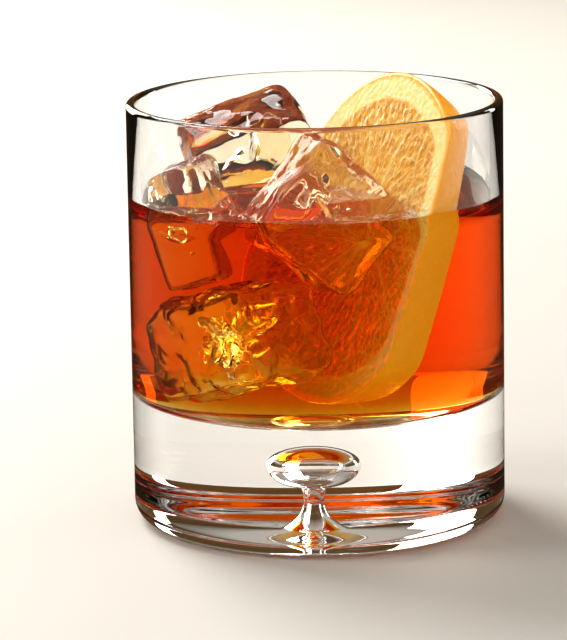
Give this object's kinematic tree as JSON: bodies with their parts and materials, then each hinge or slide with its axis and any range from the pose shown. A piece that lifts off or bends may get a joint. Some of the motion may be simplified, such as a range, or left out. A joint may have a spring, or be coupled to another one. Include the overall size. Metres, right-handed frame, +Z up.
{
  "type": "bourbon on the rocks in a tumbler",
  "caption": "Straight-sided heavy-base tumbler with an air bubble in its foot, holding bourbon, ice cubes that stand out of the drink and a leaning wheel slice of orange.",
  "frame": {"origin": "centre of the foot's underside, on the glass's axis, where the glass stands", "axes": "+Z up along the glass's axis; -Y is the drinker's side, where the front ice cube leans on the wall; +X is the side the orange slice leans to"},
  "size_m": [0.085, 0.085, 0.1013],
  "materials": {
    "glass": "clear and polished",
    "bourbon": "clear amber liquid, deeper red lower down",
    "ice": "clear wet ice with melted, uneven faces",
    "orange": "moist orange flesh with a waxy rind"
  },
  "bodies": {
    "root": {"glass": "glass", "bourbon": "bourbon", "orange_slice": "orange", "ice_front": "ice", "ice_back": "ice", "ice_left": "ice"}
  },
  "joints": []
}
